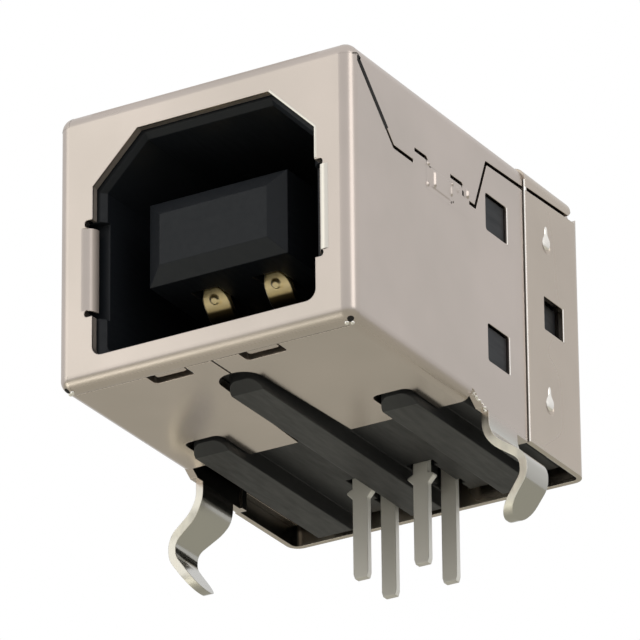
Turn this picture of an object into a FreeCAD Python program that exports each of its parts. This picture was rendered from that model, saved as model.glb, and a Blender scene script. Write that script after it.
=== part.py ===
import FreeCAD, Part
import math
import os

from FreeCAD import Vector

# A right-angle socket for a square-bodied serial-bus plug, soldered through a circuit board.
# Millimetres. X runs across the mouth, Y from the mouth to the rear, Z up from the board.
# The origin lies on the board's top face, midway between the two legs of the shell.

# Shell envelope
body_width = 12.0
body_height = 10.6
body_depth = 16.2
board_gap = 0.3
sheet = 0.3
bend_radius = 0.5

# Plug opening in the front plate, centred on the plug's axis
axis_height = 5.2
plug_width = 8.45
plug_height = 7.78
plug_chamfer = 1.67
plate_margin = 0.29
opening_corner = 0.4
slit_width = 0.27
lip_bottom = -2.36
lip_top = 0.82
lip_radius = 0.46
relief_radius = 0.1

# Side seam: levels up from the body's underside, places as shares of the length ahead of the cover
seam_gap = 0.15
seam_level = 7.6
seam_knee_share = 0.24
ear_first_share = 0.355
ear_second_share = 0.562
seam_rise_share = 0.711
seam_rise_run = 0.85
strip_height = 0.93
strip_rear_height = 0.72
ear_height = 0.5
ear_length = 1.05
seam_hairline = 0.04
coin_depth = 0.05
coin_drop = 0.6

# Windows in each side wall
window_length = 1.53
window_height = 1.46
window_corner = 0.12
window_to_cover = 1.23
window_upper = 7.76
window_lower = 2.68

# Underside of the shell: two halves that meet on the centre line
floor_to_leg = 1.125
flange_length = 0.58
notch_inner = 1.06
notch_outer = 2.66
notch_length = 0.66
tab_margin = 0.2
tab_recess = 0.12
centre_slot_front = 1.85
centre_slot_half = 0.78
centre_slot_flare = 0.35
side_slot_length = 2.05
side_slot_half = 0.76
side_slot_corner = 0.3
wall_bottom = 0.17
notch_rise = 0.42
notch_to_leg = 0.375

# Snap-in legs
leg_width = 2.05
leg_kink = 1.33
leg_straight = 0.98
leg_crest = 1.88
leg_crest_flat = 0.68
leg_reach = 3.85
leg_crest_half = 0.77
leg_tip_half = 0.7
leg_tip_inset = 1.12
leg_knee_bend = 1.2
leg_bend = 0.7

# Rear cover, a second and thinner sheet
cover_sheet = 0.2
cover_proud = 0.1
cover_length = 4.1
cover_window_length = 1.38
cover_window_height = 1.3
cover_window_margin = 1.22
cover_window_level = 5.33
cover_notch = 0.73
cover_roof_proud = 0.03
cover_bottom = 0.15
shell_end_gap = 0.05
shell_rear_rise = 0.55
cover_gap = 0.02
dimple_radius = 0.3
dimple_neck = 0.2
dimple_length = 0.75
dimple_depth = 0.12
dimple_margin = 1.5
dimple_upper = 8.1
dimple_lower = 1.8

# Moulded insulator
fit = 0.05
row_to_cavity = 2.85
tongue_width = 5.6
tongue_height = 3.18
tongue_front = 0.7
tongue_chamfer_width = 0.62
tongue_chamfer_depth = 0.36
back_wall = 1.3
chamber_wall = 1.1
base_thickness = 1.2
rib_margin = 0.03
side_rib_half = 0.7
side_rib_offset = 3.83
centre_rib_front = 2.5
side_rib_margin = 0.3
rib_slope = 0.45
rib_nose = 0.7
rib_to_rear = 0.7
lip_room = 0.25
housing_round = 0.3
lead_in = 0.2
latch_margin = 0.06
latch_depth = 0.1
cover_latch_depth = 0.3
tail_clearance = 0.08

# Contacts and their tails
contact_width = 1.0
contact_thickness = 0.25
contact_pitch = 2.5
contact_embed = 0.14
contact_tip = 2.65
contact_tip_inset = 0.3
contact_crest = 3.5
contact_bulge = 0.66
contact_rest = 5.6
contact_bend = 0.35
contact_crest_bend = 0.45
contact_corner = 0.45
contact_room = 0.5
contact_dot = 0.24
contact_boss = 0.1
groove_clearance = 0.04
tail_width = 0.6
tail_length = 3.2
tail_taper = 0.06
leg_to_row = 2.55
row_pitch = 2.0
row_to_rear = 1.35
barb_width = 1.06
barb_height = 0.42
barb_level = 0.12

# Places worked out from the sizes above
leg_setback = body_depth - row_to_rear - row_pitch - leg_to_row
front = -leg_setback
cavity_depth = leg_setback + leg_to_row - row_to_cavity
floor_length = leg_setback - leg_width / 2 - floor_to_leg
ear_foot_start = leg_setback - leg_width / 2 - notch_to_leg
cover_front = body_depth - cover_length
cover_window_setback = cover_front + cover_window_margin
dimple_setback = cover_front + dimple_margin
window_setback = cover_front - window_to_cover - window_length
side_slot_front = floor_length - side_slot_length
side_rib_front = side_slot_front + side_rib_margin
seam_knee = seam_knee_share * cover_front
ear_first = ear_first_share * cover_front
ear_second = ear_second_share * cover_front
seam_rise_start = seam_rise_share * cover_front
seam_rise_end = seam_rise_start + seam_rise_run
rib_end = body_depth - rib_to_rear
floor = board_gap
roof = floor + body_height
half = body_width / 2
axis = floor + axis_height
inner_half = half - sheet
joggle = cover_sheet - cover_proud
step_y = front + cover_front
rear = front + body_depth
cover_half = half + cover_proud
cover_roof = roof + cover_roof_proud
roof_joggle = cover_sheet - cover_roof_proud
cover_start = step_y + cover_gap
shell_end = rear - bend_radius - shell_end_gap
row_y = [leg_to_row, leg_to_row + row_pitch]
opening_width = plug_width + 2 * plate_margin
opening_height = plug_height + 2 * plate_margin
opening_chamfer = plug_chamfer + plate_margin * (2 - math.sqrt(2))
lip_edge = opening_width / 2
lip_root = lip_edge + lip_radius
rib_half = contact_pitch / 2 - barb_width / 2 - fit - rib_margin
housing_half = inner_half - joggle - fit
housing_front = front + sheet + fit
housing_rear = shell_end
housing_floor = floor + sheet + fit
housing_roof = roof - sheet - roof_joggle - fit
cavity_end = front + cavity_depth
chamber_front = cavity_end + back_wall
chamber_roof = axis + tongue_height / 2 + chamber_wall
base_top = housing_floor + base_thickness
tongue_low = axis - tongue_height / 2
tongue_high = axis + tongue_height / 2
far = 4 * body_depth


def in_xz(a, b, depth=0.0):
    return Vector(a, depth, b)


def in_yz(a, b, depth=0.0):
    return Vector(depth, a, b)


def in_xy(a, b, depth=0.0):
    return Vector(a, b, depth)


def rounded_face(points, radii, place, depth=0.0):
    """A flat face from corner points, each corner rounded by its own radius."""
    count = len(points)
    if isinstance(radii, (int, float)):
        radii = [radii] * count
    starts, ends, arcs = [], [], []
    for i in range(count):
        before, here, after = points[i - 1], points[i], points[(i + 1) % count]
        ax, ay = before[0] - here[0], before[1] - here[1]
        bx, by = after[0] - here[0], after[1] - here[1]
        la, lb = math.hypot(ax, ay), math.hypot(bx, by)
        ax, ay, bx, by = ax / la, ay / la, bx / lb, by / lb
        turn = math.acos(max(-1.0, min(1.0, ax * bx + ay * by)))
        radius = radii[i]
        if radius <= 0 or turn > math.pi - 1e-4:
            starts.append(here)
            ends.append(here)
            arcs.append(None)
            continue
        reach = min(radius / math.tan(turn / 2), 0.499 * la, 0.499 * lb)
        radius = reach * math.tan(turn / 2)
        mx, my = ax + bx, ay + by
        lm = math.hypot(mx, my)
        lead = radius / math.sin(turn / 2)
        centre = (here[0] + mx / lm * lead, here[1] + my / lm * lead)
        middle = (centre[0] - mx / lm * radius, centre[1] - my / lm * radius)
        starts.append((here[0] + ax * reach, here[1] + ay * reach))
        ends.append((here[0] + bx * reach, here[1] + by * reach))
        arcs.append(middle)
    edges = []
    for i in range(count):
        if arcs[i] is not None:
            corner = [place(*p, depth) for p in (starts[i], arcs[i], ends[i])]
            edges.append(Part.Arc(*corner).toShape())
        a, b = place(*ends[i], depth), place(*starts[(i + 1) % count], depth)
        if a.distanceToPoint(b) > 1e-6:
            edges.append(Part.LineSegment(a, b).toShape())
    return Part.Face(Part.Wire(Part.__sortEdges__(edges)))


def strip_outline(points, radii, thickness):
    """Corner points and radii of a bent strip, from its centre line and bend radii."""
    def side(sign):
        shifted, rounds = [], []
        count = len(points)
        for i in range(count):
            normals = []
            if i > 0:
                dx, dy = points[i][0] - points[i - 1][0], points[i][1] - points[i - 1][1]
                length = math.hypot(dx, dy)
                normals.append((-dy / length, dx / length))
            if i < count - 1:
                dx, dy = points[i + 1][0] - points[i][0], points[i + 1][1] - points[i][1]
                length = math.hypot(dx, dy)
                normals.append((-dy / length, dx / length))
            nx = sum(n[0] for n in normals) / len(normals)
            ny = sum(n[1] for n in normals) / len(normals)
            scale = sign * thickness / 2 / (nx * nx + ny * ny)
            shifted.append((points[i][0] + nx * scale, points[i][1] + ny * scale))
            if len(normals) == 2:
                cross = normals[0][0] * normals[1][1] - normals[0][1] * normals[1][0]
                inside = cross * sign > 0
                rounds.append(max(radii[i - 1] + (-thickness / 2 if inside else thickness / 2), 0.0))
            else:
                rounds.append(0.0)
        return shifted, rounds
    left, left_round = side(1)
    right, right_round = side(-1)
    return left + right[::-1], left_round + right_round[::-1]


def bent_strip(points, radii, thickness, place, start, end):
    """A strip of even thickness along a bent centre line, as wide as start to end."""
    corners, rounds = strip_outline(points, radii, thickness)
    face = rounded_face(corners, rounds, place, start)
    return face.extrude(place(0, 0, end) - place(0, 0, start))


def prism(points, radii, place, start, end):
    face = rounded_face(points, radii, place, start)
    return face.extrude(place(0, 0, end) - place(0, 0, start))


def ribbon(points, width, start, end):
    """A straight-sided track of even width in a side wall, from X start to end."""
    return bent_strip(points, [0.0] * (len(points) - 2), width, in_yz, start, end)


def box(x0, x1, y0, y1, z0, z1):
    return Part.makeBox(x1 - x0, y1 - y0, z1 - z0, Vector(x0, y0, z0))


def mirrored(shape):
    return shape.mirror(Vector(0, 0, 0), Vector(1, 0, 0))


def both_sides(shape):
    return [shape, mirrored(shape)]


def plug_outline(width, height, chamfer, low_radius):
    """The plug's outline: a near square with its two upper corners cut off."""
    w, h = width / 2, height / 2
    points = [(-w, axis - h), (w, axis - h), (w, axis + h - chamfer), (w - chamfer, axis + h),
              (-w + chamfer, axis + h), (-w, axis + h - chamfer)]
    return points, [low_radius, low_radius, 0.0, 0.0, 0.0, 0.0]


def arch(half_width, top, bottom, radius, y0, y1):
    """A channel section that is open below: top panel with bends into two walls."""
    points = [(-half_width, bottom), (half_width, bottom), (half_width, top), (-half_width, top)]
    return prism(points, [0.0, 0.0, radius, radius], in_xz, y0, y1)


def cup(inset, y1):
    """The body's front block, with rounded front and long edges, inset by a wall."""
    x, y0, z0, z1 = half - inset, front + inset, floor + inset, roof - inset
    block = box(-x, x, y0, y1, z0, z1)
    rounded = []
    for edge in block.Edges:
        middle = edge.valueAt((edge.FirstParameter + edge.LastParameter) / 2)
        at_front = abs(middle.y - y0) < 1e-6
        along = abs(abs(middle.x) - x) < 1e-6 and min(abs(middle.z - z0), abs(middle.z - z1)) < 1e-6
        if at_front or along:
            rounded.append(edge)
    return block.makeFillet(bend_radius - inset if bend_radius > inset else 0.02, rounded)


def seam_points():
    """The open stretches of the side seam: along the mouth bend, ear tops and strip."""
    low, high = floor + seam_level, floor + seam_level + ear_height
    strip = roof - strip_height
    corner = ear_height * 0.4
    first, second = front + ear_first, front + ear_second
    to_ear = [(front + bend_radius, strip + 0.3), (front + seam_knee - ear_height, low + ear_height),
              (front + seam_knee, low), (first - 0.04, low)]
    ears = []
    for start in (first, second):
        end = start + ear_length
        ears.append([(start + 0.05, high), (end - corner, high), (end, high - corner)])
    to_rear = [(second + ear_length + 0.14, low), (front + seam_rise_start, low),
               (front + seam_rise_end, strip), (rear, roof - strip_rear_height)]
    return [to_ear, to_rear] + ears


def closed_seam_points():
    """The stretches that the coining punch has closed, left as a hairline."""
    low, high = floor + seam_level, floor + seam_level + ear_height
    corner = ear_height * 0.4
    lines = []
    end = front + ear_first + ear_length
    lines.append([(end, high - corner), (end + 0.1, low), (front + ear_second - 0.04, low)])
    return lines


def window_cut(setback, level, length, height, radius):
    y0, z0 = front + setback, floor + level - height / 2
    points = [(y0, z0), (y0 + length, z0), (y0 + length, z0 + height), (y0, z0 + height)]
    return prism(points, radius, in_yz, half - 4 * sheet, half + 4 * sheet)


def pear_press(level, grow, outside):
    """A pear-shaped press mark in a side wall: a broad round foot under a smaller round head."""
    y, z = front + dimple_setback, floor + level
    shapes = []
    for radius, centre, depth in ((dimple_radius, z - dimple_length / 2 + dimple_radius, dimple_depth),
                                  (dimple_neck, z + dimple_length / 2 - dimple_neck, dimple_depth / 2)):
        wide, deep = radius + grow, depth + grow
        ball = (wide * wide + deep * deep) / (2 * deep)
        shapes.append(Part.makeSphere(ball, Vector(outside + ball - deep, y, centre)))
    return shapes


def make_leg():
    """A snap-in leg: the wall runs on down, kinks outward, then slopes in to a round tip."""
    x = half - sheet / 2
    top = floor + wall_bottom + 2 * sheet
    knee = floor - leg_straight
    crest = floor - leg_crest
    under = crest - leg_crest_flat
    tip = floor - leg_reach - 0.3
    path = [(x, top), (x, knee), (x + leg_kink, crest), (x + leg_kink, under),
            (x + leg_kink - leg_tip_inset, tip)]
    bends = [leg_knee_bend, leg_bend, leg_bend]
    blade = bent_strip(path, bends, sheet, in_xz, -leg_width / 2, leg_width / 2)
    w = leg_width / 2
    bottom = floor - leg_reach
    outline = [(-w, top + 1), (-w, knee), (-leg_crest_half, crest), (-leg_tip_half, bottom),
               (leg_tip_half, bottom), (leg_crest_half, crest), (w, knee), (w, top + 1)]
    rounds = [0.0, 1.0, 1.0, leg_tip_half * 0.95, leg_tip_half * 0.95, 1.0, 1.0, 0.0]
    mask = prism(outline, rounds, in_yz, 0, far)
    return blade.common(mask)


def floor_cuts():
    """Openings in the shell's underside: centre seam, rib slots, notches and edges."""
    z0, z1 = floor - sheet, floor + 2 * sheet
    end = front + floor_length
    cuts = [box(-seam_gap / 4, seam_gap / 4, front + flange_length, end, z0, z1)]
    y0, half_front = front + centre_slot_front, centre_slot_half
    flare = half_front + centre_slot_flare
    slot = [(-half_front, y0), (half_front, y0), (flare, end + 1), (-flare, end + 1)]
    cuts.append(prism(slot, [half_front * 0.95, half_front * 0.95, 0.0, 0.0], in_xy, z0, z1))
    for side in (-1, 1):
        x, w, y0 = side * side_rib_offset, side_slot_half, front + side_slot_front
        slot = [(x - w, y0), (x + w, y0), (x + w, end + 1), (x - w, end + 1)]
        cuts.append(prism(slot, [side_slot_corner, side_slot_corner, 0.0, 0.0], in_xy, z0, z1))
    return cuts


def flange_cuts():
    """The butt line under the mouth, where the front plate's return meets the two halves."""
    z0, z1 = floor - sheet, floor + 2 * sheet
    y0 = front + flange_length
    cuts = [box(-half + bend_radius, half - bend_radius, y0 - seam_hairline / 2, y0 + seam_hairline / 2, z0, z1)]
    for side in (-1, 1):
        x0, x1 = sorted((side * notch_inner, side * notch_outer))
        points = [(x0, y0), (x1, y0), (x1, y0 + notch_length), (x0, y0 + notch_length)]
        cuts.append(prism(points, [0.0, 0.0, 0.15, 0.15], in_xy, z0, z1))
    return cuts


def flange_tabs():
    """Two tongues of the front plate's return that nest in the notches."""
    tabs = []
    y0 = front + flange_length
    for side in (-1, 1):
        x0, x1 = sorted((side * (notch_inner + tab_margin), side * (notch_outer - tab_margin)))
        y1 = y0 + notch_length - tab_margin
        points = [(x0, y0 - sheet), (x1, y0 - sheet), (x1, y1), (x0, y1)]
        tabs.append(prism(points, [0.0, 0.0, 0.1, 0.1], in_xy, floor + tab_recess, floor + sheet))
    return tabs


def lip():
    """The spring lip between two slits: the plate's edge rolled back into the mouth."""
    z0, z1 = axis + lip_bottom, axis + lip_top
    x, y = lip_root, front + lip_radius
    ring = Part.makeCylinder(lip_radius, z1 - z0, Vector(x, y, z0))
    bore = Part.makeCylinder(max(lip_radius - sheet, 0.05), z1 - z0 + 2, Vector(x, y, z0 - 1))
    quarter = box(x - lip_radius - 1, x, y - lip_radius - 1, y, z0, z1)
    return ring.cut(bore).common(quarter)


def opening_cuts():
    points, radii = plug_outline(opening_width, opening_height, opening_chamfer, opening_corner)
    cuts = [prism(points, radii, in_xz, front - 1, front + 2 * sheet)]
    for side in (-1, 1):
        x0, x1 = sorted((side * (lip_edge - 1), side * lip_root))
        cuts.append(box(x0, x1, front - 1, front + 2 * sheet, axis + lip_bottom, axis + lip_top))
        for level in (axis + lip_bottom - slit_width, axis + lip_top):
            x0, x1 = sorted((side * (lip_edge - 1), side * (lip_edge + lip_radius * 0.7)))
            points = [(x0, level), (x1, level), (x1, level + slit_width), (x0, level + slit_width)]
            rounds = [0.0, slit_width * 0.45, slit_width * 0.45, 0.0]
            if side < 0:
                rounds = [slit_width * 0.45, 0.0, 0.0, slit_width * 0.45]
            cuts.append(prism(points, rounds, in_xz, front - 1, front + 2 * sheet))
    return cuts


def corner_reliefs():
    """Round holes at the mouth's four corners, where three bends would meet."""
    cuts = []
    length = 2 * bend_radius
    for side in (-1, 1):
        for up, z in ((-1, floor), (1, roof)):
            outward = Vector(side, -1, up)
            corner = Vector(side * (half - bend_radius), front + bend_radius, z - up * bend_radius)
            cuts.append(Part.makeCylinder(relief_radius, length, corner + outward * (sheet / 4), outward))
    return cuts


def wall_notch():
    """The relief in a side wall between the floor's end and the leg."""
    end = front + floor_length
    low = floor - 2 * sheet
    points = [(end, low), (front + ear_foot_start, low), (front + ear_foot_start, floor - 0.02),
              (end + 0.3, floor + notch_rise * 0.7), (end + 0.1, floor + notch_rise), (end, floor + notch_rise)]
    return prism(points, [0.0, 0.0, 0.1, 0.1, 0.05, 0.0], in_yz, half - 3 * sheet, half + sheet)


def wall_foot():
    """The edge of a side wall between the notch and the leg and behind the leg."""
    return box(half - 3 * sheet, half + sheet, front + ear_foot_start - 0.01, -leg_width / 2 - 0.001,
               floor - 3 * sheet, floor - 0.02)


def make_front_shell():
    """One folded sheet: front plate, top with side flaps, walls, underside halves, legs."""
    end = front + floor_length
    low = floor - wall_bottom
    radius = bend_radius
    inner_radius = max(bend_radius - sheet, 0.02)
    drop = low - 1
    outer = cup(0.0, end).fuse([
        arch(half, roof, low, radius, end, step_y),
        arch(half - joggle, roof - roof_joggle, low, radius, step_y, shell_end)])
    inner = cup(sheet, end).fuse([
        arch(inner_half, roof - sheet, drop, inner_radius, end, step_y - sheet),
        arch(inner_half - joggle, roof - sheet - roof_joggle, drop, inner_radius, step_y - sheet, shell_end + 1)])
    shell = outer.cut(inner)
    cuts = opening_cuts() + corner_reliefs() + floor_cuts() + flange_cuts()
    side_cuts = [window_cut(window_setback, level, window_length, window_height, window_corner)
                 for level in (window_upper, window_lower)]
    side_cuts.append(window_cut(cover_window_setback - 0.1, cover_window_level, cover_window_length + 0.2,
                                cover_window_height + 0.2, window_corner))
    for level in (dimple_upper, dimple_lower):
        room = dimple_radius + 2 * cover_sheet
        y, z = front + dimple_setback, floor + level
        side_cuts.append(Part.makeCylinder(room, 3 * sheet, Vector(inner_half - 2 * joggle, y, z), Vector(1, 0, 0)))
    for line in seam_points():
        side_cuts.append(ribbon(line, seam_gap, half - 3 * sheet, half + 1))
    for line in closed_seam_points():
        side_cuts.append(ribbon(line, seam_hairline, half - seam_hairline, half + 1))
    coin_y0, coin_y1 = front + ear_first + ear_length + 0.25, front + ear_second + 0.04
    coin_z = floor + seam_level
    side_cuts.append(box(half - coin_depth, half + 1, coin_y0, coin_y1, coin_z - coin_drop, coin_z - seam_hairline))
    side_cuts.append(box(inner_half - 2 * joggle, half + 1, front + cover_front, shell_end + 1, low - 1,
                         floor + shell_rear_rise))
    side_cuts.append(wall_notch())
    side_cuts.append(wall_foot())
    for cut in side_cuts:
        cuts += both_sides(cut)
    shell = shell.cut(cuts)
    adds = both_sides(lip()) + both_sides(make_leg()) + flange_tabs()
    shell = shell.fuse(adds).removeSplitter()
    return shell


def make_rear_shell():
    """The rear cover: back plate, side flaps over the walls and a lip over the top."""
    low = floor - cover_bottom
    radius = bend_radius
    inner_radius = max(bend_radius - cover_sheet, 0.02)
    inner_x, inner_z = cover_half - cover_sheet, cover_roof - cover_sheet

    def block(x, z1, y0, y1, round_by):
        shape = arch(x, z1, low if y0 == cover_start else low - 1, round_by, y0, y1)
        edges = []
        for edge in shape.Edges:
            middle = edge.valueAt((edge.FirstParameter + edge.LastParameter) / 2)
            if abs(middle.y - y1) < 1e-6 and middle.z > low + 1e-3:
                edges.append(edge)
        return shape.makeFillet(round_by * 0.98, edges)

    cover = block(cover_half, cover_roof, cover_start, rear, radius)
    cover = cover.cut(block(inner_x, inner_z, step_y - 1, rear - cover_sheet, inner_radius))
    strip = roof - strip_rear_height
    side_cuts = [window_cut(cover_window_setback, cover_window_level, cover_window_length, cover_window_height,
                            window_corner * 0.5)]
    drop = (strip_height - strip_rear_height) * cover_length / (rear - front - seam_rise_end)
    end = rear - cover_notch
    seam = [(step_y, strip - drop), (end, strip), (end + seam_gap, strip)]
    side_cuts.append(ribbon(seam, seam_gap, half - 3 * sheet, half + 1))
    notch = [(end - seam_gap, strip - seam_gap / 2), (rear - bend_radius, strip - seam_gap / 2),
             (rear - bend_radius / 2, strip + seam_gap), (rear + 1, strip + seam_gap), (rear + 1, cover_roof + 1),
             (end, cover_roof + 1), (end, strip + 1.5 * seam_gap), (end - seam_gap, strip + seam_gap / 2)]
    side_cuts.append(prism(notch, 0.0, in_yz, cover_half - bend_radius, half + 1))
    cuts = []
    for cut in side_cuts:
        cuts += both_sides(cut)
    cover = cover.cut(cuts)
    hollows = []
    for level in (dimple_upper, dimple_lower):
        for press in pear_press(level, 0.0, cover_half):
            hollows += both_sides(press)
    return cover.cut(hollows).removeSplitter()


def contact_path(upper):
    """Centre line of a contact in a plane along the plug's axis, tip first."""
    sign = 1 if upper else -1
    face = axis + sign * tongue_height / 2
    rest = face + sign * (contact_thickness / 2 - contact_embed)
    tip = face - sign * contact_tip_inset
    crest = rest + sign * contact_bulge
    y = row_y[1 if upper else 0]
    return [(front + contact_tip, tip), (front + contact_crest, crest), (front + contact_rest, rest),
            (y, rest), (y, -tail_length)]


def contact_radii():
    return [contact_crest_bend, 3 * contact_bend, contact_bend]


def blade_mask(x, upper):
    """The contact's width along its length: blade, neck, barbs and tapered tail."""
    y0 = row_y[1 if upper else 0]
    blade_end = chamber_front + 0.4
    nose, half_width = front + contact_tip - contact_thickness / 2, contact_width / 2
    blade = [(x - half_width, nose), (x + half_width, nose), (x + half_width, blade_end), (x - half_width, blade_end)]
    front_part = prism(blade, [contact_corner, contact_corner, 0.0, 0.0], in_xy, -far, far)
    rear_part = box(x - tail_width / 2, x + tail_width / 2, blade_end - 0.01, rear, -tail_length, roof)
    w, b = tail_width / 2, barb_width / 2
    barb = [(x - w, barb_level - barb_height * 0.6), (x + w, barb_level - barb_height * 0.6), (x + b, barb_level),
            (x + b, barb_level + barb_height * 0.15), (x + w, barb_level + barb_height * 0.4),
            (x - w, barb_level + barb_height * 0.4), (x - b, barb_level + barb_height * 0.15), (x - b, barb_level)]
    shoulders = [] if upper else [prism(barb, 0.0, in_xz, y0 - 1, y0 + 1)]
    return front_part.fuse([rear_part] + shoulders)


def contact_dimple(x, upper):
    """The small round boss on the contact's nose."""
    path = contact_path(upper)
    share = 0.34
    y = path[0][0] + (path[1][0] - path[0][0]) * share
    z = path[0][1] + (path[1][1] - path[0][1]) * share
    dy, dz = path[1][0] - path[0][0], path[1][1] - path[0][1]
    length = math.hypot(dy, dz)
    out = Vector(0, -abs(dz) / length, math.copysign(dy / length, dz))
    foot = Vector(x, y, z) + out * (contact_thickness / 4)
    return Part.makeCone(contact_dot, contact_dot / 2, contact_thickness / 4 + contact_boss, foot, out)


def make_contact(x, upper):
    reach = max(contact_width, barb_width)
    strip = bent_strip(contact_path(upper), contact_radii(), contact_thickness, in_yz, x - reach, x + reach)
    shape = strip.common(blade_mask(x, upper))
    tips = []
    for side in (-1, 1):
        y = row_y[1 if upper else 0]
        edge, outside = x + side * tail_width / 2, x + side * tail_width
        shoulder, narrow = -tail_length + 3 * tail_taper, edge - side * tail_taper
        points = [(edge, shoulder), (outside, shoulder), (outside, -tail_length - 1),
                  (narrow, -tail_length - 1), (narrow, -tail_length)]
        tips.append(prism(points, 0.0, in_xz, y - 1, y + 1))
    shape = shape.cut(tips)
    return shape.fuse(contact_dimple(x, upper)).removeSplitter()


def contact_slot(x, upper):
    """The room that the insulator leaves around a contact."""
    grow = 4 * groove_clearance
    path = contact_path(upper)
    lead = [(path[0][0] - groove_clearance * 2, path[0][1])] + path[1:]
    w = contact_width / 2 + groove_clearance
    room = bent_strip(lead, contact_radii(), contact_thickness + grow, in_yz, x - w, x + w)
    sign = 1 if upper else -1
    face = axis + sign * tongue_height / 2
    rest = path[2][1]
    z0, z1 = sorted((rest - sign * (contact_thickness / 2 + groove_clearance), face + sign * 2))
    groove = box(x - w, x + w, path[0][0] - 2 * groove_clearance, cavity_end + 0.01, z0, z1)
    low, high = sorted((face - sign * (contact_tip_inset + contact_thickness / 2 + groove_clearance),
                        face + sign * 2))
    gap = contact_tip - tongue_front - tongue_chamfer_depth
    entry = box(x - w, x + w, path[0][0] - min(contact_room, 0.6 * gap), path[1][0], low, high)
    return room.fuse([groove, entry])


def tongue():
    """The insulator's tongue, its front edges chamfered all round as a lead-in."""
    w, h = tongue_width / 2, tongue_height / 2
    y0, y1 = front + tongue_front, front + tongue_front + tongue_chamfer_depth
    c = tongue_chamfer_width
    nose = Part.makeLoft([
        Part.makePolygon([Vector(-w + c, y0, axis - h + c), Vector(w - c, y0, axis - h + c),
                          Vector(w - c, y0, axis + h - c), Vector(-w + c, y0, axis + h - c),
                          Vector(-w + c, y0, axis - h + c)]),
        Part.makePolygon([Vector(-w, y1, axis - h), Vector(w, y1, axis - h), Vector(w, y1, axis + h),
                          Vector(-w, y1, axis + h), Vector(-w, y1, axis - h)])], True, True)
    return nose.fuse(box(-w, w, y1, cavity_end + 0.1, axis - h, axis + h))


def rib(x, half_width, y0):
    """A stand-off rib that passes through the shell and seats on the board."""
    top = housing_floor + 0.2
    end = front + rib_end
    toe = front + y0
    points = [(toe, floor), (toe + rib_slope, 0.0), (end - 0.15, 0.0), (end, 0.15), (end, top), (toe, top)]
    bar = prism(points, 0.0, in_yz, x - half_width, x + half_width)
    plan = [(x - half_width, toe), (x + half_width, toe), (x + half_width, rear), (x - half_width, rear)]
    return bar.common(prism(plan, [half_width * rib_nose, half_width * rib_nose, 0.0, 0.0], in_xy, -1, top + 1))


def lead_in_cut():
    """A small funnel round the cavity's mouth."""
    rings = []
    for grow, y in ((lead_in, housing_front), (0.0, housing_front + lead_in)):
        corners = plug_outline(plug_width + 2 * grow, plug_height + 2 * grow, plug_chamfer + grow, 0.0)[0]
        corners = [Vector(a, y, b) for a, b in corners]
        rings.append(Part.makePolygon(corners + corners[:1]))
    return Part.makeLoft(rings, True, True)


def latches():
    """Blocks that stand in the windows of the walls and hold the shell on."""
    blocks = []
    for setback, level, length, height, out in (
            (window_setback, window_upper, window_length, window_height, half - latch_depth),
            (window_setback, window_lower, window_length, window_height, half - latch_depth),
            (cover_window_setback, cover_window_level, cover_window_length, cover_window_height,
             cover_half - cover_latch_depth)):
        y0, z0 = front + setback, floor + level - height / 2
        m = latch_margin
        block = box(housing_half - sheet, out, y0 + m, y0 + length - m, z0 + m, z0 + height - m)
        blocks += both_sides(block)
    return blocks


def make_housing():
    """The moulded insulator: plug cavity, tongue, rear chamber, base and ribs."""
    body = box(-housing_half, housing_half, housing_front, housing_rear, housing_floor, housing_roof)
    edges = []
    for edge in body.Edges:
        middle = edge.valueAt((edge.FirstParameter + edge.LastParameter) / 2)
        along = abs(middle.x) > housing_half - 1e-6 and abs(middle.y - housing_rear) > 1e-6
        at_front = abs(middle.y - housing_front) < 1e-6
        if at_front or along:
            edges.append(edge)
    body = body.makeChamfer(housing_round, edges)
    points, radii = plug_outline(plug_width, plug_height, plug_chamfer, opening_corner * 0.6)
    cuts = [prism(points, radii, in_xz, housing_front - 1, cavity_end), lead_in_cut()]
    for side in (-1, 1):
        x0, x1 = sorted((side * (plug_width / 2 - 0.5), side * (lip_root + fit)))
        cuts.append(box(x0, x1, housing_front - 1, front + lip_radius + lip_room,
                        axis + lip_bottom - slit_width, axis + lip_top + slit_width))
    w = housing_half - chamber_wall
    cuts.append(box(-w, w, chamber_front, housing_rear + 1, base_top, chamber_roof))
    body = body.cut(cuts)
    body = body.fuse([tongue(), rib(0.0, rib_half, centre_rib_front)] +
                     [rib(side * side_rib_offset, side_rib_half, side_rib_front) for side in (-1, 1)] + latches())
    slots = []
    for x in (-contact_pitch / 2, contact_pitch / 2):
        w = tail_width / 2 + tail_clearance
        y0 = row_y[0] - contact_thickness / 2 - tail_clearance
        slots.append(box(x - w, x + w, y0, housing_rear + 1, -1, base_top + 1))
        for upper in (False, True):
            slots.append(contact_slot(x, upper))
        b = barb_width / 2 + fit
        slots.append(box(x - b, x + b, y0, housing_rear + 1, -1, barb_level + barb_height + fit))
    return body.cut(slots).removeSplitter()


def keep(name, shape):
    if len(shape.Solids) != 1:
        print(name, "has", len(shape.Solids), "solids")
    solid = shape.Solids[0] if len(shape.Solids) == 1 else shape
    if not solid.isValid():
        print(name, "is not valid")
    solid.exportStep(f"parts/{name}.step")
    print(name, round(solid.Volume, 3))


os.makedirs("parts", exist_ok=True)
keep("front_shell", make_front_shell())
keep("rear_shell", make_rear_shell())
keep("housing", make_housing())
places = [(-contact_pitch / 2, True), (contact_pitch / 2, True), (contact_pitch / 2, False), (-contact_pitch / 2, False)]
for number, (x, upper) in enumerate(places, start=1):
    keep(f"contact_{number}", make_contact(x, upper))
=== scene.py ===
import math

import bpy
import numpy as np
from mathutils import Matrix, Vector


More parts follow.
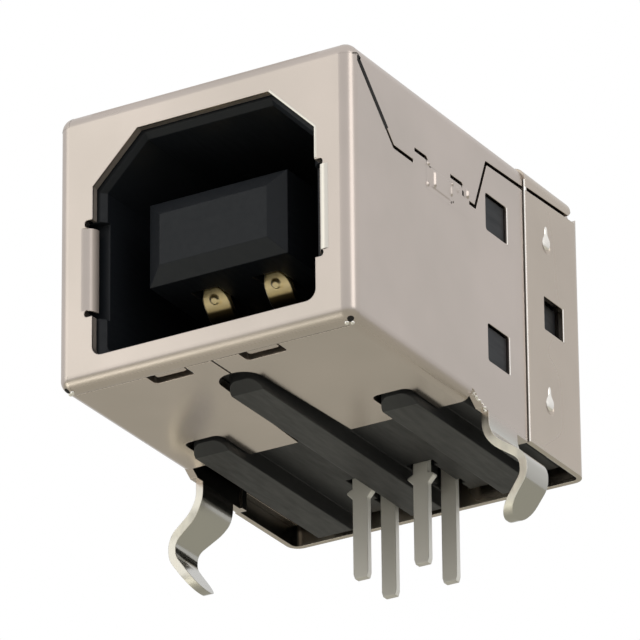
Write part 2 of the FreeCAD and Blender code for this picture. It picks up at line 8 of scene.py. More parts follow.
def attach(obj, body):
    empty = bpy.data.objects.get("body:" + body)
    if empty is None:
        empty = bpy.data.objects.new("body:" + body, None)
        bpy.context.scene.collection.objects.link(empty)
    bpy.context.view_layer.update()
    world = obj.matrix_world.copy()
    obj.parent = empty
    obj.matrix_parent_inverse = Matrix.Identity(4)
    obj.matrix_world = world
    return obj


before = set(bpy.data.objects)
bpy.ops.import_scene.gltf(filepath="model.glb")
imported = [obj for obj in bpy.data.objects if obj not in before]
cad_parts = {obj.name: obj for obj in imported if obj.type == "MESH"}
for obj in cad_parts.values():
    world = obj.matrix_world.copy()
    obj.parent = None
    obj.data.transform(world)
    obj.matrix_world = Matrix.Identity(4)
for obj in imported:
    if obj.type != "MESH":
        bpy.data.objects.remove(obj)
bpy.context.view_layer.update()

# Camera
# A long lens looks up at the mouth from the front right and from below the board side.
# It stands about a quarter of a metre away, so near and far edges differ by a few percent.
camera_target = (0.0, -0.0023, 0.0043)
camera_turn = math.radians(30.54)
camera_rise = math.radians(-24.55)
camera_roll = math.radians(-0.56)
camera_distance = 0.25017
camera_lens = 397.76
camera_shift = (-0.00186, 0.01734)
camera_sensor = 36.0
camera_clip = (0.01, 20.0)


def aim_camera():
    """Puts the camera on a sphere round the target: turn, rise and distance, then a small roll."""
    away = Vector((math.sin(camera_turn) * math.cos(camera_rise),
                   -math.cos(camera_turn) * math.cos(camera_rise), math.sin(camera_rise)))
    right = Vector((math.cos(camera_turn), math.sin(camera_turn), 0.0))
    up = away.cross(right)
    turned_right = right * math.cos(camera_roll) + up * math.sin(camera_roll)
    turned_up = up * math.cos(camera_roll) - right * math.sin(camera_roll)
    place = Vector(camera_target) + away * camera_distance
    data = bpy.data.cameras.new("camera")
    data.lens = camera_lens
    data.sensor_width = camera_sensor
    data.shift_x, data.shift_y = camera_shift
    data.clip_start, data.clip_end = camera_clip
    camera = bpy.data.objects.new("camera", data)
    columns = Matrix((turned_right, turned_up, away)).transposed().to_4x4()
    camera.matrix_world = Matrix.Translation(place) @ columns
    bpy.context.scene.collection.objects.link(camera)
    bpy.context.scene.camera = camera


aim_camera()
bpy.context.scene.view_settings.view_transform = "Standard"

# Front shell
# One sheet of nickel-plated steel, folded into the mouth plate, top, walls and underside.
# Its seams butt, its legs are sheared from the walls, and its cut edges show bare steel with a painted
# highlight.
half_width = 0.0060
shell_front = -0.0103
shell_top = 0.0109
bend = 0.0005
nickel_colour = (0.60, 0.53, 0.485, 1.0)
nickel_shade = (0.55, 0.49, 0.445, 1.0)
# Cut edges: bare steel, painted lighter as a highlight.
cut_edge_and_highlight_colour = (0.70, 0.62, 0.56, 1.0)
# Sheared leg fronts: bare steel, painted near-white as a highlight.
sheared_and_highlight_colour = (0.95, 0.91, 0.82, 1.0)
leg_colour = (0.50, 0.49, 0.45, 1.0)
# Painted shade on the insides of the walls.
inside_shade_colour = (0.07, 0.07, 0.065, 1.0)
nickel_roughness = 0.30
leg_zone = (0.0003, -0.0003)
lip_side = (0.00469, 0.00459)
lip_height = (0.0014, 0.0018)
lip_depth = (-0.01028, -0.0102)
wall_side = (0.0053, 0.0056)
wall_height = (-0.0004, 0.0002)
inward_turn = (-0.002, -0.004)
sheared_turn = (-0.4, -0.9)
under_turn = (-0.8, -0.95)
edge_highlight_turn = (0.995, 0.90)
edge_highlight_share = 0.6
edge_radius = 0.00004
stain_scale = 260.0
cloud_scale = 90.0
grain_scale = 9000.0
shear_scale = 2600.0
wave_scale = 110.0
grain_depth = 0.000004
wave_depth = 0.00006
lip_matt = 0.35
leg_shine = 0.16
sheared_matt = 0.4
under_shine = 0.13


def new_material(name):
    material = bpy.data.materials.new(name)
    material.use_nodes = True
    tree = material.node_tree
    shader = next(n for n in tree.nodes if n.bl_idname == "ShaderNodeBsdfPrincipled")
    return material, tree, shader


def put(tree, kind, settings=None, **sockets):
    """Adds a node: settings are its properties, sockets its input values or links.
    A socket goes by its name, or by i and its number where names repeat."""
    node = tree.nodes.new(kind)
    for key, value in (settings or {}).items():
        setattr(node, key, value)
    for key, value in sockets.items():
        socket = node.inputs[int(key[1:])] if key[0] == "i" and key[1:].isdigit() else node.inputs[key]
        if isinstance(value, bpy.types.NodeSocket):
            tree.links.new(value, socket)
        else:
            socket.default_value = value
    return node


def axes_of(tree, vector):
    return put(tree, "ShaderNodeSeparateXYZ", Vector=vector).outputs


def noise(tree, place, scale, detail=3.0, rough=0.5, stretch=(1.0, 1.0, 1.0)):
    """Noise at so many features a metre, drawn out along an axis by a stretch under one."""
    mapping = put(tree, "ShaderNodeMapping", Vector=place, Scale=stretch)
    return put(tree, "ShaderNodeTexNoise", Vector=mapping.outputs[0], Scale=scale, Detail=detail,
               Roughness=rough).outputs["Fac"]


def ramp(tree, value, low, high, to_low=0.0, to_high=1.0):
    """A straight ramp: low to high on the input becomes to_low to to_high, held at the ends."""
    return put(tree, "ShaderNodeMapRange", i0=value, i1=low, i2=high, i3=to_low, i4=to_high).outputs[0]


def blend(tree, share, first, second):
    mix = put(tree, "ShaderNodeMix", {"data_type": "RGBA"}, i0=share, i6=first, i7=second)
    return mix.outputs[2]


def calc(tree, operation, a, b=0.0):
    return put(tree, "ShaderNodeMath", {"operation": operation}, i0=a, i1=b).outputs[0]


def product(tree, first, *others):
    for other in others:
        first = calc(tree, "MULTIPLY", first, other)
    return first


def vector_calc(tree, operation, **sockets):
    return put(tree, "ShaderNodeVectorMath", {"operation": operation}, **sockets).outputs


def bump(tree, strength, distance, height, normal):
    return put(tree, "ShaderNodeBump", Strength=strength, Distance=distance, Height=height,
               Normal=normal).outputs[0]


def nickel_plate(name, colour, shade, roughness, seed):
    """Rolled and plated sheet: fine rolling marks, soft stains, and edges painted lighter as bare steel and a
    highlight.
    The legs are shinier and their sheared fronts painted near-white as bare steel and a highlight, the spring
    lips are rubbed matt, the insides of the walls are painted dark as shade, and the faces turned down are
    smoother."""
    material, tree, shader = new_material(name)
    place = put(tree, "ShaderNodeTexCoord").outputs["Object"]
    axes = axes_of(tree, place)
    off_middle = calc(tree, "ABSOLUTE", axes["X"])
    leg = ramp(tree, axes["Z"], *leg_zone)
    lip = product(tree, ramp(tree, off_middle, *lip_side), ramp(tree, axes["Z"], *lip_height),
                  ramp(tree, axes["Y"], *lip_depth))
    shift = (seed, seed * 0.7, seed * 1.3)
    place = put(tree, "ShaderNodeMapping", Vector=place, Location=shift).outputs[0]
    stain = noise(tree, place, stain_scale, 3.0)
    cloud = noise(tree, place, cloud_scale, 2.0)
    grain = noise(tree, place, grain_scale, 2.0, 0.6, (1.0, 0.06, 1.0))
    base = blend(tree, ramp(tree, stain, 0.35, 0.7), colour, shade)
    round_edge = put(tree, "ShaderNodeBevel", {"samples": 16}, Radius=edge_radius).outputs[0]
    true_normal = put(tree, "ShaderNodeNewGeometry").outputs["Normal"]
    turn = vector_calc(tree, "DOT_PRODUCT", i0=round_edge, i1=true_normal)["Value"]
    # Rounded edges are painted lighter: bare steel and a painted highlight.
    edge = product(tree, ramp(tree, turn, *edge_highlight_turn), edge_highlight_share)
    base = blend(tree, edge, base, cut_edge_and_highlight_colour)
    facing = axes_of(tree, true_normal)
    shear_marks = noise(tree, place, shear_scale, 2.0, 0.6, (1.0, 1.0, 0.25))
    # The sheared leg fronts are painted near-white: bare steel and a painted highlight.
    sheared_and_highlight = product(tree, leg, ramp(tree, facing["Y"], *sheared_turn),
                      ramp(tree, shear_marks, 0.35, 0.7, 1.0, 0.55))
    base = blend(tree, leg, base, leg_colour)
    base = blend(tree, sheared_and_highlight, base, sheared_and_highlight_colour)
    # The insides of the walls are painted dark as shade.
    inward_shade = product(tree, ramp(tree, product(tree, facing["X"], axes["X"]), *inward_turn),
                     ramp(tree, off_middle, *wall_side), ramp(tree, axes["Z"], *wall_height))
    base = blend(tree, inward_shade, base, inside_shade_colour)
    under = ramp(tree, facing["Z"], *under_turn)
    tree.links.new(base, shader.inputs["Base Color"])
    shader.inputs["Metallic"].default_value = 1.0
    rough = ramp(tree, cloud, 0.3, 0.7, roughness - 0.04, roughness + 0.05)
    for operation, share, amount in (("ADD", lip, lip_matt), ("SUBTRACT", leg, leg_shine),
                                     ("ADD", sheared_and_highlight, sheared_matt), ("SUBTRACT", under, under_shine)):
        rough = calc(tree, operation, rough, product(tree, share, amount))
    tree.links.new(rough, shader.inputs["Roughness"])
    fine = bump(tree, 0.12, grain_depth, grain, round_edge)
    wave = bump(tree, 0.5, wave_depth, noise(tree, place, wave_scale, 1.0), fine)
    tree.links.new(wave, shader.inputs["Normal"])
    return material


def dress(node, material):
    """Gives a solid from the frame one material in all of its slots."""
    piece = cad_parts[node]
    for index in range(max(1, len(piece.material_slots))):
        if index < len(piece.material_slots):
            piece.material_slots[index].material = material
        else:
            piece.data.materials.append(material)


dress("front_shell", nickel_plate("front_shell_nickel", nickel_colour, nickel_shade, nickel_roughness, 0.0))

# Rear cover
# A second, thinner sheet, folded over the back and sprung on to the walls.
# Its edge stands a little proud of them, and its pressed drops grip the walls.
cover_colour = (0.56, 0.49, 0.42, 1.0)
cover_shade = (0.515, 0.45, 0.385, 1.0)
cover_roughness = 0.28
cover_seed = 0.013
dress("rear_shell", nickel_plate("rear_cover_nickel", cover_colour, cover_shade, cover_roughness, cover_seed))

# Cover rim
# The cover's front edge is rolled a little outwards, and the corner before it lies in shade.
# It shows as a line down each wall painted bright as a highlight, with a thin painted shadow in front.
cover_edge = 0.0018
rim_bottom = 0.00017
rim_top = 0.01042
rim_reach = 0.00008
rim_proud = 0.00006
rim_sunk = 0.00004
rim_shadow_width = 0.00005
rim_shadow_overlap = 0.00001
rim_shadow_lift = 0.000003
waver = 0.00001
waver_rate = 2600.0
# Painted shadow in the corner before the rim, also the colour of the dark seam lines.
shadow_and_seam_colour = (0.10, 0.085, 0.07, 1.0)
shadow_and_seam_roughness = 0.7
# Near-white colour for painted highlights on the rim, drops, beads, window edges and burr.
polish_and_highlight_colour = (0.93, 0.90, 0.85, 1.0)
rim_roughness = 0.22


def surface_mesh(name, rows, material):
    """One smooth skin over a grid of points, rows x columns x 3, riding on the body."""
    rows = np.asarray(rows, float)
    high, wide = rows.shape[:2]
    index = np.arange(high * wide).reshape(high, wide)
    faces = np.stack([index[:-1, :-1], index[:-1, 1:], index[1:, 1:], index[1:, :-1]], -1).reshape(-1, 4)
    mesh = bpy.data.meshes.new(name)
    mesh.from_pydata(rows.reshape(-1, 3).tolist(), [], faces.tolist())
    mesh.polygons.foreach_set("use_smooth", [True] * len(faces))
    mesh.materials.append(material)
    piece = bpy.data.objects.new(name, mesh)
    bpy.context.scene.collection.objects.link(piece)
    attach(piece, "root")


def both_walls(name, rows, material):
    """A piece on the right wall and its mirror image on the left wall."""
    rows = np.asarray(rows, float)
    surface_mesh(name + "_right", rows, material)
    surface_mesh(name + "_left", rows[:, ::-1] * (-1.0, 1.0, 1.0), material)


def plain_metal(name, colour, roughness, metallic=1.0):
    material, tree, shader = new_material(name)
    shader.inputs["Base Color"].default_value = colour
    shader.inputs["Metallic"].default_value = metallic
    shader.inputs["Roughness"].default_value = roughness
    return material


def rim_rows():
    """Half a rod: x = x0 + proud sin t, y = y0 - reach cos t, drawn out along Z."""
    t = np.linspace(0.0, math.pi, 17)
    z = np.linspace(rim_bottom, rim_top, 60)
    x = half_width + rim_reach + rim_proud * np.sin(t) - rim_sunk
    y = cover_edge + rim_reach - rim_reach * np.cos(t)
    return [[(a, b, c) for a, b in zip(x, y)] for c in z]


def rim_shadow_rows():
    """A flat line on the wall up to the rim: its front side is y = y0 + w sin kz, its rear side straight."""
    z = np.linspace(rim_bottom, rim_top, 80)
    front_side = cover_edge - rim_shadow_width + waver * np.sin(z * waver_rate)
    rear_side = cover_edge + rim_shadow_overlap
    return [[(half_width + rim_shadow_lift, y, level) for y in (start, rear_side)]
            for start, level in zip(front_side, z)]


polished_and_highlight = plain_metal("polished_highlight_nickel", polish_and_highlight_colour, rim_roughness)
shadow_and_seam = plain_metal("corner_shadow_and_seam_lines", shadow_and_seam_colour, shadow_and_seam_roughness, 0.0)
# The rim is painted bright as a highlight; the dark line before it is a painted shadow.
both_walls("cover_rim", rim_rows(), polished_and_highlight)
both_walls("cover_rim_shadow", rim_shadow_rows(), shadow_and_seam)

# Press marks
# Two pear-shaped drops are pressed out of each side of the cover to grip the wall.
# Their front flanks catch the light, and the drops are painted bright as a highlight; their rear flanks fall
# away steeply.
cover_half = 0.0061
drop_y = 0.00325
drop_levels = (0.00840, 0.00210)
drop_half = 0.00024
drop_neck = 0.00009
drop_rise = 0.00070
drop_height = 0.00012
drop_lift = 0.000002
drop_belly = 0.30
drop_shoulder = 0.55
drop_tip = 0.6
drop_crest = 0.35
drop_swell = 0.8
drop_roughness = 0.24


def drop_width(t):
    """Half the pear's width: w sqrt(1 - ((t - b) / b)^2) up to the belly b, then a smooth step
    down to the neck, and a round end."""
    if t < drop_belly:
        return drop_half * math.sqrt(max(0.0, 1.0 - ((t - drop_belly) / drop_belly) ** 2))
    climb = (t - drop_belly) / (1.0 - drop_belly)
    step = min(climb / drop_shoulder, 1.0)
    width = drop_half + (drop_neck - drop_half) * (3 * step ** 2 - 2 * step ** 3)
    return width * math.sqrt(max(0.0, 1.0 - max(0.0, (climb - drop_tip) / (1.0 - drop_tip)) ** 2))


def drop_rows(level):
    """Height h sin(pi r(s) / 2) (w(t) / w)^0.8, where t runs up the pear and s crosses it from front
    to rear; r is 1 at the crest, and falls off behind it more steeply than before it."""
    rows = []
    for t in np.linspace(0.0, 1.0, 41):
        z = level - drop_half + t * (drop_half + drop_rise)
        width = drop_width(t)
        row = []
        for s in np.linspace(-1.0, 1.0, 33):
            rise = (s + 1) / (1 + drop_crest) if s < drop_crest else (1 - s) / (1 - drop_crest)
            swell = math.sin(math.pi / 2 * rise) * (width / drop_half) ** drop_swell
            row.append((cover_half + drop_lift + drop_height * swell, drop_y + s * width, z))
        rows.append(row)
    return rows


# The drops are painted bright as a highlight.
drop_highlight = plain_metal("drop_highlight_nickel", polish_and_highlight_colour, drop_roughness)
for number, level in enumerate(drop_levels):
    both_walls(f"press_drop_{number + 1}", drop_rows(level), drop_highlight)

# Coined seam
# Between the ears a punch has closed the seam and left its outline in the wall.
# Two upright ridges, a step below them and a hairline above are all that shows of it.
coin_lift = 0.000002
coin_grid = 0.000012
ridge_half = 0.00008
ridge_end = 0.00002
step_run = 0.000012
step_end = 0.00004
patch_fade = 0.00005
bend_limit = 0.99
coined_roughness = 0.28
# Painted shadow along the sloping seam and in the pits of the lower corners.
seam_and_pit_shadow_colour = (0.008, 0.007, 0.006, 1.0)
seam_and_pit_shadow_roughness = 0.8
coin_patches = {
    "coin_mark": ((-0.00515, -0.00213, 0.00722, 0.00818), (-0.00481, -0.00348, 0.00742, 0.00003),
                  ((-0.00461, 0.00750, 0.00806, 0.00008), (-0.00343, 0.00762, 0.00799, 0.00008),
                   (-0.00507, 0.00735, 0.00752, 0.00006), (-0.00337, 0.00804, 0.00814, 0.00010),
                   (-0.00294, 0.00796, 0.00812, 0.00004))),
    "ear_end": ((-0.00262, -0.00212, 0.00798, 0.00838), None, ((-0.00226, 0.00803, 0.00832, 0.00009),)),
    "ear_dot": ((-0.00512, -0.00488, 0.00810, 0.00834), None, ((-0.00500, 0.00819, 0.00827, 0.00009),))}


def soft_step(distance, run):
    """From 0 to 1 over a few runs round nought: 1 / (1 + exp(-d / run))."""
    return 1 / (1 + np.exp(-distance / run))


def coin_rows(region, step, ridges):
    """Sum of ridges h exp(-((y - y0) / w)^2) over their lengths, and a plateau above the step.
    The region is two y and two z, the step two y, a z and its height, a ridge y, two z and its height."""
    y = np.linspace(region[0], region[1], int((region[1] - region[0]) / coin_grid))
    z = np.linspace(region[2], region[3], int((region[3] - region[2]) / coin_grid))
    yy, zz = np.meshgrid(y, z)
    height = np.zeros_like(yy)
    for centre, low, high, lift in ridges:
        along = soft_step(zz - low, ridge_end) * soft_step(high - zz, ridge_end)
        height += lift * np.exp(-((yy - centre) / ridge_half) ** 2) * along
    if step:
        start, end, low, lift = step
        across = soft_step(yy - start, step_end) * soft_step(end - yy, step_end)
        height += lift * soft_step(zz - low, step_run) * across
    edge = np.minimum.reduce([yy - region[0], region[1] - yy, zz - region[2], region[3] - zz])
    height = height * np.clip(edge / patch_fade, 0, 1) + coin_lift
    return np.stack([half_width + height, yy, zz], -1)


def broken_line(points, parts):
    """The points of a broken line with each run cut in steps, and the way across the line at each."""
    points = np.asarray(points, float)
    runs = [np.linspace(a, b, parts)[:-1] for a, b in zip(points[:-1], points[1:])]
    steps = np.concatenate(runs + [points[-1:]])
    way = np.gradient(steps, axis=0)
    way /= np.linalg.norm(way, axis=1)[:, None]
    return steps, np.stack([-way[:, 1], way[:, 0]], -1)


def line_rows(points, width, lift):
    """A flat line of one width along a broken line on the rounded corner of the shell.
    With a and b the runs into the two bends, x = half - r + sqrt(r^2 - a^2 - b^2)."""
    steps, across = broken_line(points, 9)
    rows = []
    for share in (-0.5, 0.0, 0.5):
        line = steps + across * width * share
        a = np.clip(shell_front + bend - line[:, 0], 0, bend * bend_limit)
        b = np.clip(line[:, 1] - (shell_top - bend), 0, bend * bend_limit)
        x = half_width - bend + np.sqrt(np.maximum(bend ** 2 - a ** 2 - b ** 2, 0)) + lift
        rows.append(np.stack([x, line[:, 0], line[:, 1]], -1))
    return np.array(rows)


coined = nickel_plate("coined_nickel", nickel_colour, nickel_shade, coined_roughness, 0.0)
seam_and_pit_shadow = plain_metal("seam_shadow", seam_and_pit_shadow_colour, seam_and_pit_shadow_roughness, 0.0)
seam_lines = {
    "coin_hairline": (((-0.00499, 0.00821), (-0.00492, 0.00815), (-0.00352, 0.00813), (-0.00346, 0.00816)),
                      0.00006, 0.000008, shadow_and_seam),
    "coin_corner": (((-0.00338, 0.00741), (-0.00330, 0.00741)), 0.00008, 0.000040, shadow_and_seam),
    # A painted shadow along the sloping seam, with dark seam lines beside it.
    "seam_slope": (((-0.00970, 0.01044), (-0.00976, 0.01030), (-0.00785, 0.00840)),
                   0.00021, 0.000004, seam_and_pit_shadow),
    "seam_hook": (((-0.00974, 0.01046), (-0.00985, 0.01048), (-0.01006, 0.01041)),
                  0.00005, 0.000008, shadow_and_seam)}
for name, (region, step, ridges) in coin_patches.items():
    both_walls(name, coin_rows(region, step, ridges), coined)
for name, (points, width, lift, material) in seam_lines.items():
    both_walls(name, line_rows(points, width, lift), material)

# Front corners
# The two upper corners of the folded sheet are drawn smooth, and the fold hides the relief hole.
# Each lower corner has a small dark pit in it, painted as shade, between two bright beads painted as
# highlights.
top_centre = shell_top - bend
foot_centre = 0.0003 + bend
corner_lift = 0.000004
# A dark disc painted as the pit's shade, and two bright beads painted as highlights.
pit = (-0.95, 0.80, 0.00012)
pit_highlight_beads = ((-1.30, 0.15, 0.00009), (-1.22, 1.45, 0.00008))
bead_height = 0.8
spot_lift = 0.000006
spot_start = 0.02
spot_squeeze = 0.3


def corner_point(centre, rise, turn, out):
    """A point at two angles on a corner's sphere, whose centre is at a level, lifted by a little."""
    r = bend + out
    return (half_width - bend + r * math.cos(rise) * math.sin(turn),
            shell_front + bend - r * math.cos(rise) * math.cos(turn), centre + r * math.sin(rise))


def corner_rows(centre, lowest):
    """An eighth of a sphere of the bend's radius: a right angle up from the lowest and one round."""
    turns = np.linspace(0.0, math.pi / 2, 17)
    return [[corner_point(centre, rise, turn, corner_lift) for turn in turns]
            for rise in np.linspace(lowest, lowest + math.pi / 2, 17)]


def spot_rows(rise, turn, size, height):
    """A round cap on the lower corner's sphere: rings s size / r off its centre for s up to 1,
    at the height h sqrt(1 - s^2)."""
    squeeze = max(math.cos(rise), spot_squeeze)
    rows = []
    for share in np.linspace(spot_start, 1.0, 8):
        reach = share * size / bend
        out = spot_lift + height * math.sqrt(max(0.0, 1 - share ** 2))
        rows.append([corner_point(foot_centre, rise + reach * math.sin(way),
                                  turn + reach * math.cos(way) / squeeze, out)
                     for way in np.linspace(0.0, 2 * math.pi, 19)])
    return rows


both_walls("front_corner", corner_rows(top_centre, 0.0), coined)
both_walls("foot_corner", corner_rows(foot_centre, -math.pi / 2), coined)
both_walls("foot_pit_shade", spot_rows(*pit, 0.0), seam_and_pit_shadow)
for number, bead in enumerate(pit_highlight_beads):
    both_walls(f"foot_bead_{number + 1}", spot_rows(*bead, bead[2] * bead_height), polished_and_highlight)

# Window edges
# The rear edge of each window punched in the walls shows as a thin cream line, painted bright as a highlight.
# A latch block of the insulator sits in the window behind it.
window_edges = ((0.00057, 0.00806, 0.00073, 0.0), (0.00057, 0.00298, 0.00073, 0.0),
                (0.00440, 0.00563, 0.00065, 0.0001))
edge_width = 0.00005
window_roughness = 0.3


def window_rows(y, middle, reach, proud):
    """A half round moulding upright on the wall: y0 + w (1 - cos t) / 2, proud by w sin t / 3.
    It reaches as far above the middle as below it, on a sheet proud of the wall."""
    section = [(half_width + proud + edge_width * math.sin(t) / 3, y + edge_width * (1 - math.cos(t)) / 2)
               for t in np.linspace(0, math.pi, 9)]
    return [[(*point, z) for point in section] for z in np.linspace(middle - reach, middle + reach, 24)]


window_edge_highlight = plain_metal("window_edge_highlight_nickel", polish_and_highlight_colour, window_roughness)
for number, window in enumerate(window_edges):
    both_walls(f"window_edge_{number + 1}", window_rows(*window), window_edge_highlight)

# Mouth edge
# The mouth's edge and the root of the right spring lip are painted cream-bright as highlights.
# Both show as cream-bright lines along the mouth's upper right corner and right side.
mouth_half = 0.00455
mouth_roof = 0.00970
mouth_chamfer = 0.00184
mouth_line = ((mouth_half - mouth_chamfer, mouth_roof), (mouth_half, mouth_roof - mouth_chamfer),
              (mouth_half, 0.00665))
mouth_line_width = 0.00009
mouth_line_rise = 0.15
lip_span = (0.00312, 0.00634)
lip_bulge = (0.00474, 0.00504, 0.00003)
lip_lift = 0.000002
mouth_highlight_colour = (0.80, 0.76, 0.69, 1.0)
mouth_highlight_roughness = 0.35


def edge_rows(points, width):
    """A half round moulding of one width along a broken line on the front plate:
    w cos t / 2 across the line, proud by 0.15 w sin t."""
    steps, across = broken_line(points, 14)
    rows = []
    for t in np.linspace(0, math.pi, 9):
        line = steps - across * width * math.cos(t) / 2
        y = np.full(len(line), shell_front - mouth_line_rise * width * math.sin(t))
        rows.append(np.stack([line[:, 0], y, line[:, 1]], -1))
    return np.array(rows)


def lip_rows():
    """A shallow barrel y = y0 - h sin(pi s) across the root of the spring lip."""
    start, end, height = lip_bulge
    section = [(start + (end - start) * s, shell_front - lip_lift - height * math.sin(math.pi * s))
               for s in np.linspace(0, 1, 13)]
    return [[(*point, z) for point in section] for z in np.linspace(*lip_span, 30)]


# The mouth's edge and the right lip's root are painted cream-bright as highlights.
mouth_highlight = plain_metal("mouth_highlight_nickel", mouth_highlight_colour, mouth_highlight_roughness)
surface_mesh("mouth_edge", edge_rows(mouth_line, mouth_line_width), mouth_highlight)
surface_mesh("lip_root_right", lip_rows(), mouth_highlight)

# Burrs
# The shear that cut the right leg free left a torn burr at the corner of its wall.
# It shows as a crumpled bead beside the leg, painted bright as a highlight.
burr_path = ((-0.00218, 0.00046), (-0.00205, 0.00062), (-0.00190, 0.00052), (-0.00165, 0.00044),
             (-0.00140, 0.00040), (-0.00126, 0.00030), (-0.00121, 0.00014))
burr_thick = 0.00005
burr_lumps = (0.6, 29, 13)
burr_taper = 12
burr_thin = 0.02
burr_sway = (0.00002, 41)
burr_flat = 0.6
burr_roughness = 0.15


def burr_rows():
    """A tube round the path, thin at both ends: r = r0 (1 + w sin at sin(bt + 1)).
    Its centre sways in X by s sin ct, and it is flatter in Z."""
    knots = np.asarray(burr_path)
    t = np.linspace(0, 1, 70)
    share = np.linspace(0, 1, len(knots))
    y = np.interp(t, share, knots[:, 0])
    z = np.interp(t, share, knots[:, 1])
    size, fast, slow = burr_lumps
    lumps = 1 + size * np.sin(fast * t) * np.sin(slow * t + 1)
    radius = burr_thick * lumps * np.clip(np.minimum(t, 1 - t) * burr_taper, burr_thin, 1)
    sway, sway_rate = burr_sway
    x = half_width - sway + sway * np.sin(sway_rate * t)
    round_it = np.linspace(0, 2 * math.pi, 13)
    out = radius[:, None] * np.cos(round_it)
    along = radius[:, None] * np.sin(round_it)
    return np.stack([x[:, None] + out, y[:, None] + along, z[:, None] + burr_flat * along], -1)


surface_mesh("burr", burr_rows(), plain_metal("torn_highlight_nickel", polish_and_highlight_colour, burr_roughness))

# Insulator
# A black glass-filled nylon moulding: the mouth's liner, the tongue and the ribs below.
# It is matt where the mould was textured, with faint paler flow marks.
plastic_colour = (0.014, 0.0145, 0.016, 1.0)
plastic_bloom = (0.030, 0.031, 0.032, 1.0)
# Painted shade above the base: darker and a little bluer.
core_shade_colour = (0.012, 0.014, 0.0175, 1.0)
core_shade_zone = (0.0009, 0.0013)
core_shine = 0.1
flow_scale = 400.0
skin_scale = 16000.0
fibre_scale = 5200.0
nylon_radius = 0.00006
nylon_depth = 0.000006


def black_nylon(name):
    """Moulded nylon: fine mould texture, faint flow marks and glass fibres near the skin.
    Above the base it is painted blacker and a little bluer as shade, and mirrors less."""
    material, tree, shader = new_material(name)
    place = put(tree, "ShaderNodeTexCoord").outputs["Object"]
    flow = noise(tree, place, flow_scale, 3.0, 0.5, (1.0, 0.4, 1.0))
    grain = noise(tree, place, skin_scale, 3.0, 0.6)
    fibre = noise(tree, place, fibre_scale, 2.0, 0.6, (1.0, 0.15, 1.0))
    base = blend(tree, ramp(tree, flow, 0.4, 0.75), plastic_colour, plastic_bloom)
    core_shade = ramp(tree, axes_of(tree, place)["Z"], *core_shade_zone)
    base = blend(tree, core_shade, base, core_shade_colour)
    tree.links.new(base, shader.inputs["Base Color"])
    tree.links.new(ramp(tree, core_shade, 0.0, 1.0, 0.5, 0.2), shader.inputs["Specular IOR Level"])
    rough = calc(tree, "SUBTRACT", ramp(tree, fibre, 0.3, 0.8, 0.42, 0.6), product(tree, core_shade, core_shine))
    tree.links.new(rough, shader.inputs["Roughness"])
    round_edge = put(tree, "ShaderNodeBevel", {"samples": 12}, Radius=nylon_radius).outputs[0]
    height = calc(tree, "ADD", product(tree, grain, 0.6), product(tree, fibre, 0.4))
    tree.links.new(bump(tree, 0.3, nylon_depth, height, round_edge), shader.inputs["Normal"])
    return material


dress("housing", black_nylon("housing_nylon"))

# Contacts
# Four stamped phosphor-bronze springs, gold over nickel where the plug touches them.
# Their tails go down through the board and are tinned for soldering.
gold_colour = (0.97, 0.79, 0.44, 1.0)
# Painted shade on the gold further from the tongue.
gold_shade_colour = (0.16, 0.115, 0.05, 1.0)
# Painted highlight on the gold's edges turned left.
gold_edge_highlight = (1.0, 0.95, 0.86, 1.0)
tin_colour = (0.62, 0.60, 0.565, 1.0)
# Painted light on the tails' right-hand faces.
tin_lit_side_colour = (0.92, 0.91, 0.88, 1.0)
gold_zone = (0.0015, 0.0025)
tongue_axis = 0.0055
gold_shade_zone = (0.00205, 0.00175)
pad_zone = (0.00205, 0.00185)
pad_lean = (-0.12, -0.80, 0.26)
tin_lit_turn = (0.5, 0.9)
gold_highlight_turn = (-0.2, -0.6)
streak_scale = 7000.0
contact_radius = 0.00008
streak_depth = 0.000005


def gold_and_tin(name):
    """Gold above the base and dull tin on the tails, whose right-hand faces are painted brighter as lit
    sides.
    The gold is painted bright near the tongue and dark as shade further off, with a painted highlight on
    edges turned left, and pads are lit as if they bulged."""
    material, tree, shader = new_material(name)
    place = put(tree, "ShaderNodeTexCoord").outputs["Object"]
    level = axes_of(tree, place)["Z"]
    grain = noise(tree, place, streak_scale, 3.0, 0.6, (1.0, 1.0, 0.2))
    gold = ramp(tree, level, *gold_zone)
    from_axis = calc(tree, "ABSOLUTE", calc(tree, "SUBTRACT", level, tongue_axis))
    # The gold is painted dark as shade further from the tongue.
    gold_shaded = blend(tree, ramp(tree, from_axis, *gold_shade_zone), gold_shade_colour, gold_colour)
    true_normal = put(tree, "ShaderNodeNewGeometry").outputs["Normal"]
    side = axes_of(tree, true_normal)["X"]
    # Right-hand faces of the tails are painted brighter as lit sides.
    tin = blend(tree, ramp(tree, side, *tin_lit_turn), tin_colour, tin_lit_side_colour)
    base = blend(tree, gold, tin, gold_shaded)
    round_edge = put(tree, "ShaderNodeBevel", {"samples": 12}, Radius=contact_radius).outputs[0]
    turned = axes_of(tree, round_edge)["X"]
    # Edges turned left are painted near-white as a highlight.
    base = blend(tree, product(tree, gold, ramp(tree, turned, *gold_highlight_turn)), base, gold_edge_highlight)
    tree.links.new(base, shader.inputs["Base Color"])
    tree.links.new(ramp(tree, gold, 0.0, 1.0, 0.25, 1.0), shader.inputs["Metallic"])
    streaks = ramp(tree, grain, 0.3, 0.7, -0.03, 0.03)
    rough = calc(tree, "ADD", streaks, ramp(tree, gold, 0.0, 1.0, 0.42, 0.36))
    tree.links.new(rough, shader.inputs["Roughness"])
    pad = product(tree, gold, ramp(tree, from_axis, *pad_zone))
    lean = vector_calc(tree, "SCALE", i0=pad_lean, Scale=pad)[0]
    dome = vector_calc(tree, "ADD", i0=round_edge, i1=lean)[0]
    dome = vector_calc(tree, "NORMALIZE", i0=dome)[0]
    tree.links.new(bump(tree, 0.08, streak_depth, grain, dome), shader.inputs["Normal"])
    return material


contact_metal = gold_and_tin("contact_gold_and_tin")
for number in (1, 2, 3, 4):
    dress(f"contact_{number}", contact_metal)

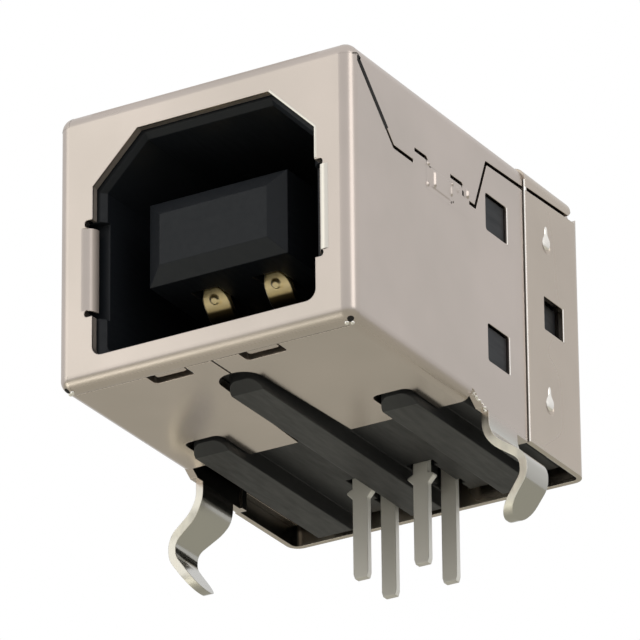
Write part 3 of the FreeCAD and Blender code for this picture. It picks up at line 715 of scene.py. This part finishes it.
# Studio
# A pale floor lies well below the socket, out of the camera's sight, and the air round it is pale too.
# A large soft lamp hangs in front, a small weak one low on the left, and a third at the right.
floor_level = -0.22
floor_half = 3.0
floor_colour = (0.66, 0.64, 0.55, 1.0)
floor_roughness = 0.8
air_light = (0.7, 0.7, 0.7, 1.0)
air_seen = (1.0, 1.0, 1.0, 1.0)
air_heights = (-0.6, 0.7)
air_mirrored = (0.55, 0.85)
lamps = {"front_lamp": ((-0.60, -0.70, 0.30), 0.50, 0.55, (1.0, 1.0, 0.90)),
         "low_lamp": ((-0.22, -0.20, -0.17), 0.16, 0.12, (1.0, 1.0, 0.90)),
         "side_lamp": ((0.75, -0.25, 0.35), 0.40, 0.65, (1.0, 0.98, 0.95))}


def lay_floor():
    mesh = bpy.data.meshes.new("floor")
    corners = np.array([(-1, -1), (1, -1), (1, 1), (-1, 1)]) * floor_half
    mesh.from_pydata([(float(x), float(y), floor_level) for x, y in corners], [], [(0, 1, 2, 3)])
    floor = bpy.data.objects.new("floor", mesh)
    bpy.context.scene.collection.objects.link(floor)
    floor.data.materials.append(plain_metal("floor_paper", floor_colour, floor_roughness, 0.0))


def light_air():
    """White to the camera, pale in reflections, and a plain grey level as light."""
    world = bpy.data.worlds.new("air")
    world.use_nodes = True
    tree = world.node_tree
    tree.nodes.clear()
    path = put(tree, "ShaderNodeLightPath").outputs
    mirrored = calc(tree, "MAXIMUM", path["Is Glossy Ray"], path["Is Transmission Ray"])
    way = put(tree, "ShaderNodeTexCoord").outputs["Generated"]
    glow = ramp(tree, axes_of(tree, way)["Z"], *air_heights, *air_mirrored)
    level = blend(tree, mirrored, air_light, glow)
    level = blend(tree, path["Is Camera Ray"], level, air_seen)
    back = put(tree, "ShaderNodeBackground", Color=level, Strength=1.0)
    put(tree, "ShaderNodeOutputWorld", Surface=back.outputs[0])
    bpy.context.scene.world = world


def hang_lamp(name, place, size, power, colour):
    """A square area lamp of so many metres and watts, turned to the socket."""
    data = bpy.data.lights.new(name, "AREA")
    data.color = colour
    data.shape = "SQUARE"
    data.size = size
    data.energy = power
    lamp = bpy.data.objects.new(name, data)
    lamp.location = place
    lamp.rotation_mode = "QUATERNION"
    lamp.rotation_quaternion = (Vector(place) - Vector(camera_target)).to_track_quat("Z", "Y")
    bpy.context.scene.collection.objects.link(lamp)


lay_floor()
light_air()
for name, (place, size, power, colour) in lamps.items():
    hang_lamp(name, place, size, power, colour)
